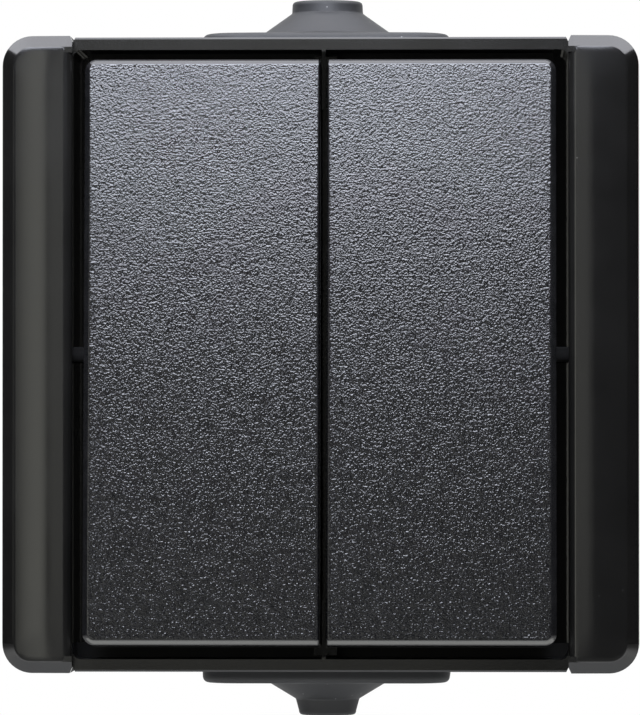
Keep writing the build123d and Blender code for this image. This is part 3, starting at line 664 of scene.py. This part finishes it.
# %% Bar crowns
BAR_INSIDE = 26.4 * MM
BAR_OUTSIDE = 31.84 * MM
BAR_END = 31.89 * MM
BAR_CORNERS = (1.9 * MM, 0.3 * MM)
BAR_STEP = (0.2 * MM, 0.5 * MM)
HEM = bevel_profile(0.1 * MM, 0.4 * MM, 0.04 * MM)
RIDGE = (28.4 * MM, 28.45 * MM)
RIDGE_SOFT = 0.9 * MM
BEND = np.array([3.4, 2.1]) / np.hypot(3.4, 2.1)
STRAIGHT_SHARE = 0.67
BENT_SHARE = 0.33
OUTER_FALL = 0.06
OUTER_CURVE = 12
INNER_FALL = 0.022
CROWN_PROUD = 0.05 * MM
CROWN_SKIN = 1.5 * MM


def soft_start(past):
    """The way past the ridge, with a short parabola in place of the kink at zero."""
    parabola = (past + RIDGE_SOFT) ** 2 / (4 * RIDGE_SOFT)
    return np.where(np.abs(past) < RIDGE_SOFT, parabola, np.maximum(past, 0))


def outer_drop(past):
    """How far the outside has fallen: a slope and a curve that grows with the square of the way."""
    fallen = soft_start(past)
    return fallen * (OUTER_FALL + OUTER_CURVE * fallen)


for side, sign in (("left", -1), ("right", 1)):
    middle = sign * (BAR_INSIDE + BAR_OUTSIDE) / 2
    across, up, depth, _ = plate(BAR_OUTSIDE - BAR_INSIDE, 2 * BAR_END, BAR_CORNERS[::-sign], HEM, BAR_STEP)
    x = middle + across
    past_ridge = sign * x - RIDGE[0]
    past_bend = BEND[0] * past_ridge + BEND[1] * (np.abs(up) - RIDGE[1])
    bent_drop = outer_drop(np.maximum(past_ridge, past_bend))
    crown = STRAIGHT_SHARE * outer_drop(past_ridge) + BENT_SHARE * bent_drop
    crown = crown + INNER_FALL * np.maximum(-past_ridge, 0)
    points = np.stack([x, frame_front + crown + depth - CROWN_PROUD, up], axis=-1)
    behind = (middle, frame_front + CROWN_SKIN, 0)
    plate_piece(f"{side}_bar_crown", points, behind, "cover_plastic", "housing")

# %% [markdown]
# ## Rings of a soft seal
# Each seal is pushed through the wall of the box and grips it between a lip and a flange. Outside, a cone
# and a nipple wait to be cut open for the cable. The shape changes from a rounded rectangle to a circle
# on the way out, so it is a stack of rings: each row gives height, half width, half length and corner
# radius, here in millimetres.

# %% Seal rows
LIP = (11.5, 8.0, 4.1)
NECK = (10.4, 6.9, 3.0)
FLANGE = (13.3, 9.5, 4.0)
BORE = 2.2
INNER_END = -3.5
LIP_FRONT = -2.2
CONE_START = 2.7
MEMBRANE = 0.7


def round_row(height, radius):
    """A circular row."""
    return (height, radius, radius, radius)


def square_row(height, outline, inward=0.0):
    """A row round a rounded rectangle, drawn in on all sides."""
    return (height, *(size - inward for size in outline))


def seal_rows(flange, cone_base, cone_top, cone_end, tip_radius, tip):
    """Rows of a seal from the end wall of its bore, round the lip and the flange, to its tip."""
    bore_end = tip - MEMBRANE
    slope_z, slope_r = cone_end - CONE_START, cone_base - cone_top
    turns = [
        (round_row(bore_end, BORE - 0.5), round_row(bore_end, BORE), round_row(bore_end - 0.5, BORE)),
        (round_row(INNER_END + 0.3, BORE), round_row(INNER_END, BORE), round_row(INNER_END, BORE + 0.3)),
        (square_row(INNER_END, LIP, 0.5), square_row(INNER_END, LIP), square_row(INNER_END + 0.5, LIP)),
        (square_row(LIP_FRONT - 0.25, LIP), square_row(LIP_FRONT, LIP), square_row(LIP_FRONT, LIP, 0.25)),
        (square_row(LIP_FRONT, NECK, -0.2), square_row(LIP_FRONT, NECK), square_row(LIP_FRONT + 0.2, NECK)),
        (square_row(-0.2, NECK), square_row(0, NECK), square_row(0, NECK, -0.2)),
        (square_row(0, FLANGE, 0.3), square_row(0, FLANGE), square_row(0.3, FLANGE)),
        (square_row(flange - 0.8, FLANGE), square_row(flange, FLANGE), square_row(flange, FLANGE, 0.8), 9),
        (
            round_row(CONE_START, cone_base + 0.45), round_row(CONE_START, cone_base),
            round_row(CONE_START + 0.12 * slope_z, cone_base - 0.12 * slope_r),
        ),
        (
            round_row(cone_end - 0.04 * slope_z, cone_top + 0.04 * slope_r), round_row(cone_end, cone_top),
            round_row(cone_end + 0.12, cone_top - 0.01), 4,
        ),
        (
            round_row(tip - 0.5, tip_radius + 0.01), round_row(tip, tip_radius),
            round_row(tip, tip_radius - 0.5), 8,
        ),
    ]
    return np.concatenate([*(soft_corner(*turn) for turn in turns), [round_row(tip, tip_radius * 0.4)]])


# %% [markdown]
# ## Soft cable seals
# The upper seal has the wider cone. Both stand on the walls of the box, a point closes each end of the
# stack of rings, and each takes the place of its plainer solid.

# %% Cable seals
SEAL_DEPTH = -15.0 * MM
SEAL_SIDES = 128


def ring_points(half_x, half_y, corner, columns):
    """Points round a rounded rectangle; with equal halves and corner it is a circle."""
    angle = (np.arange(columns) + 0.5) * 2 * pi / columns
    x = np.sign(np.cos(angle)) * (half_x - corner) + corner * np.cos(angle)
    y = np.sign(np.sin(angle)) * (half_y - corner) + corner * np.sin(angle)
    return x, y


def seal_piece(name, rows, sign):
    """A seal from its rows, closed by a point at each end, standing on the upper or lower wall of the box."""
    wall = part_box("base_box")[1].z
    height, half_x, half_y, corner = (rows * MM).T[:, :, None]
    x, y = ring_points(half_x, half_y, corner, SEAL_SIDES)
    z = sign * (wall + np.broadcast_to(height, x.shape))
    rings = np.stack([x, SEAL_DEPTH + y, z], axis=-1).reshape(-1, 3)
    ends = [(0, SEAL_DEPTH, sign * (wall + row[0] * MM)) for row in (rows[0], rows[-1])]
    faces = grid_faces(len(rows), SEAL_SIDES, close_columns=True)
    points = np.concatenate([rings, ends])
    return closed_piece(name, points, faces, end_fans(len(rows), SEAL_SIDES), "soft_seal", "housing")


upper_seal = seal_piece("upper_seal", seal_rows(2.58, 7.3, 3.85, 5.15, 3.8, 6.45), 1)
lower_seal = seal_piece("lower_seal", seal_rows(2.7, 6.65, 3.425, 4.65, 3.1, 6.4), -1)
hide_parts("upper_cable_grommet")
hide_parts("lower_cable_grommet")

# %% [markdown]
# ## Gasket
# A soft ring seals the cover against the rim of the box. Its section is a small rounded rectangle,
# carried once round the box. Moving along the section changes the ring's size, so the whole ring is one
# array.

# %% Gasket
GASKET_HALF_WIDTH = 30.7 * MM
GASKET_HALF_HEIGHT = 30.63 * MM
GASKET_CORNER = 2.0 * MM
GASKET_DEPTH = -30.5 * MM
GASKET_SECTION = (0.6 * MM, 0.5 * MM, 0.28 * MM)
SECTION_SIDES = 32
GASKET_SIDES = 128

section, thick = (values[:, None] for values in ring_points(*GASKET_SECTION, SECTION_SIDES))
path_x, path_z = ring_points(
    GASKET_HALF_WIDTH + section, GASKET_HALF_HEIGHT + section, GASKET_CORNER + section, GASKET_SIDES
)
path_y = np.broadcast_to(GASKET_DEPTH + thick, path_x.shape)
gasket_points = np.stack([path_x, path_y, path_z], axis=-1).reshape(-1, 3)
gasket_faces = grid_faces(SECTION_SIDES, GASKET_SIDES, close_rows=True, close_columns=True)
no_ends = np.zeros((0, 3), dtype=int)
gasket = closed_piece("soft_gasket", gasket_points, gasket_faces, no_ends, "soft_seal", "housing")
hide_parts("cover_gasket")

# %% [markdown]
# ## Plunger springs
# Behind each plunger sits a small coil of round wire. When the plunger is pressed, the coil gets shorter,
# which a rigid solid can't show. Here the coil is one tube carried along a helix, riding on the actuator.
# It is a hair shorter than its room, so at rest it touches nothing.

# %% Spring coils
SPRING_LENGTH = 2.8 * MM
BORE_END = 1.8 * MM
SPRING_PLAY = 0.03 * MM
WIRE = 0.36 * MM
WIRE_SIDES = 12
COIL_RADIUS = 1.02 * MM
COIL_TURNS = 4
COIL_ROWS = 193


def coil_points(middle, axis):
    """A tube round a helix: out along the radius and across it, square to the way the wire runs."""
    share = np.linspace(0, 1, COIL_ROWS)[:, None]
    angle = 2 * pi * COIL_TURNS * share
    rise = SPRING_LENGTH - WIRE - 2 * SPRING_PLAY
    aside = np.array([1.0, 0.0, 0.0])
    beside = np.cross(axis, aside)
    outward = np.cos(angle) * aside + np.sin(angle) * beside
    round_way = np.cos(angle) * beside - np.sin(angle) * aside
    onward = 2 * pi * COIL_TURNS * COIL_RADIUS * round_way + rise * axis
    upward = np.cross(onward / np.linalg.norm(onward, axis=1, keepdims=True), outward)
    line = middle + (share - 0.5) * rise * axis + COIL_RADIUS * outward
    turn = (np.arange(WIRE_SIDES) * 2 * pi / WIRE_SIDES)[None, :, None]
    rings = line[:, None] + WIRE / 2 * (np.cos(turn) * outward[:, None] + np.sin(turn) * upward[:, None])
    return np.concatenate([rings.reshape(-1, 3), line[:1], line[-1:]])


for side in ("left", "right"):
    axis = np.array(joints[f"{side}_plunger_press"]["axis"])
    closed_end = np.array(joints[f"{side}_actuator_swing"]["pos_m"]) - BORE_END * axis
    points = coil_points(closed_end - axis * SPRING_LENGTH / 2, axis)
    faces = grid_faces(COIL_ROWS, WIRE_SIDES, close_columns=True)
    ends = end_fans(COIL_ROWS, WIRE_SIDES)
    coil = closed_piece(f"{side}_spring_coil", points, faces, ends, "plated_steel", f"{side}_actuator")
    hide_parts(f"{side}_plunger_spring")
    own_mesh(coil)

# %% [markdown]
# ## Studio
# Black plastic shows what it mirrors, so the lamps are placed by what should be seen in each surface. A
# wide softbox above and a small bright panel in front of the top give the rockers bright tops and dark
# feet. Cards behind the camera on the left show in the slopes of the bars. Two narrow ones straight
# behind it lift the flat faces, with a gap between them that keeps the rib dark, and a low strip shows
# the bottom bevels. The camera sees none of them.

# %% Lights
SKY_TINT = (0.97, 0.98, 1.05)
PANEL_TINT = (0.93, 0.97, 1.10)
SIDE_TINT = (1.0, 1.0, 0.90)
FRONT_TINT = (1.0, 1.0, 0.92)
LOW_TINT = (1.0, 1.0, 0.94)


def soft_box(name, place, aim, size, radiance, tint):
    """A rectangular lamp at a place, turned to face a point; its power is brightness times pi times area."""
    lamp = bpy.data.lights.new(name, "AREA")
    lamp.shape = "RECTANGLE"
    lamp.size, lamp.size_y = size
    lamp.energy = radiance * pi * size[0] * size[1]
    lamp.color = tint
    holder = bpy.data.objects.new(name, lamp)
    holder.location = place
    direction = Vector(aim) - Vector(place)
    holder.rotation_euler = direction.to_track_quat("-Z", "Y").to_euler()
    holder.visible_camera = False
    bpy.context.scene.collection.objects.link(holder)
    print(name, round(lamp.energy, 3), "W")


soft_box("overhead_softbox", (0, -0.05, 0.15), (0, -0.05, 0), (0.40, 0.18), 4.3, SKY_TINT)
soft_box("front_panel", (-0.01, -0.142, 0.0775), (-0.01, -0.05, -0.0145), (0.13, 0.053), 13.5, PANEL_TINT)
soft_box("left_card", (-0.22, -0.93, -0.005), (0, -0.047, -0.005), (0.22, 0.31), 0.80, SIDE_TINT)
soft_box("left_card_middle", (-0.235, -0.92, 0.035), (0, -0.047, 0.035), (0.13, 0.27), 0.6, SIDE_TINT)
soft_box("front_card_left", (-0.053, -0.947, 0.03), (-0.053, 0, 0.03), (0.036, 0.21), 0.95, FRONT_TINT)
soft_box("front_card_right", (0.001, -0.947, 0.03), (0.001, 0, 0.03), (0.026, 0.21), 1.3, FRONT_TINT)
soft_box("low_front_card", (0, -0.060, -0.11), (0, -0.060, 0), (0.30, 0.016), 2.2, LOW_TINT)

# %% [markdown]
# ## White backdrop
# The switch stands before plain white, and the room in front of it is dim. A white wall could be built,
# but it would need lamps of its own. The world's brightness follows the direction a ray leaves in
# instead: bright behind, dark in front, and plain white for the camera.

# %% World
DIM_FRONT = 0.02
BRIGHT_BACK = 1.0
WHITE = (1, 1, 1, 1)


def seen_directly(tree):
    """The kinds of ray on the way, and 1 for a ray from the camera, also through something clear."""
    rays = add_node(tree, "ShaderNodeLightPath").outputs
    return rays, calc(tree, "MAXIMUM", rays["Is Camera Ray"], rays["Is Transmission Ray"])


world = bpy.data.worlds.new("studio")
world.use_nodes = True
bpy.context.scene.world = world
tree = world.node_tree
tree.nodes.clear()
way_out = add_node(tree, "ShaderNodeTexCoord").outputs["Generated"]
backward = add_node(tree, "ShaderNodeSeparateXYZ", Vector=way_out).outputs["Y"]
room = between(tree, backward, DIM_FRONT, BRIGHT_BACK, 0.25, 0.75)
strength = calc(tree, "MAXIMUM", seen_directly(tree)[1], room)
backdrop = add_node(tree, "ShaderNodeBackground", Color=WHITE, Strength=strength)
add_node(tree, "ShaderNodeOutputWorld", Surface=backdrop.outputs[0])
bpy.context.scene.view_settings.view_transform = "Standard"
print("world:", DIM_FRONT, "in front,", BRIGHT_BACK, "behind")

# %% [markdown]
# ## Table top finish
# Below the switch lies a pale round table top that turns to plain white towards its rim, so that no edge
# shows. Mirrored in the bevels, that edge would be a hard step. So mirrored rays see a ring of white
# close round the switch that fades in and out.

# %% Table top finish
FLOOR_RADIUS = 0.75
RING = (0.08, 0.2, 0.45)


def pale_table_top():
    """Pale paint mixed with plain white: towards the rim when seen directly, and in a ring when mirrored."""
    material, shader = new_material("pale_table_top", (0.66, 0.66, 0.63), 0.7)
    tree = material.node_tree
    rays, direct = seen_directly(tree)
    place = object_point(tree)
    from_middle = add_node(tree, "ShaderNodeVectorMath", {"operation": "LENGTH"}, i0=place).outputs["Value"]
    rim = between(tree, from_middle, 0.0, 1.0, 0.3 * FLOOR_RADIUS, 0.9 * FLOOR_RADIUS)
    fade_in = between(tree, from_middle, 0.0, 1.0, RING[0], RING[1])
    fade_out = between(tree, from_middle, 1.0, 0.0, RING[1], RING[2])
    mirrored = calc(tree, "MULTIPLY", calc(tree, "MINIMUM", fade_in, fade_out), rays["Is Glossy Ray"])
    whiter = calc(tree, "MAXIMUM", mirrored, calc(tree, "MULTIPLY", rim, direct))
    white = add_node(tree, "ShaderNodeEmission", Color=WHITE, Strength=1.0)
    top = add_node(tree, "ShaderNodeMixShader", i0=whiter, i1=shader.outputs[0], i2=white.outputs[0])
    tree.links.new(top.outputs[0], tree.nodes["Material Output"].inputs["Surface"])
    return material


# %% [markdown]
# ## Table top
# The table top is a disc of rings round its middle, with one many-sided face inside the smallest ring. It
# belongs to the stage and isn't part of the switch.

# %% Table top
FLOOR_HEIGHT = -0.12
FLOOR_RINGS = 12
FLOOR_SIDES = 96
SMALLEST_RING = 0.02

turn = np.linspace(0, 2 * pi, FLOOR_SIDES, endpoint=False)
rings = np.linspace(SMALLEST_RING, 1, FLOOR_RINGS)[:, None] * FLOOR_RADIUS
disc = np.stack([rings * np.cos(turn), rings * np.sin(turn), 0 * rings + 0 * turn], axis=-1).reshape(-1, 3)
faces = grid_faces(FLOOR_RINGS, FLOOR_SIDES, close_columns=True).tolist()
inner_face = list(range(FLOOR_SIDES - 1, -1, -1))
floor_mesh = bpy.data.meshes.new("table_top")
floor_mesh.from_pydata(disc.tolist(), [], faces + [inner_face])
floor_mesh.materials.append(pale_table_top())
table_top = bpy.data.objects.new("table_top", floor_mesh)
table_top.location = (0, 0, FLOOR_HEIGHT)
bpy.context.scene.collection.objects.link(table_top)
print("table top", 2 * FLOOR_RADIUS, "m across,", FLOOR_HEIGHT, "m high")
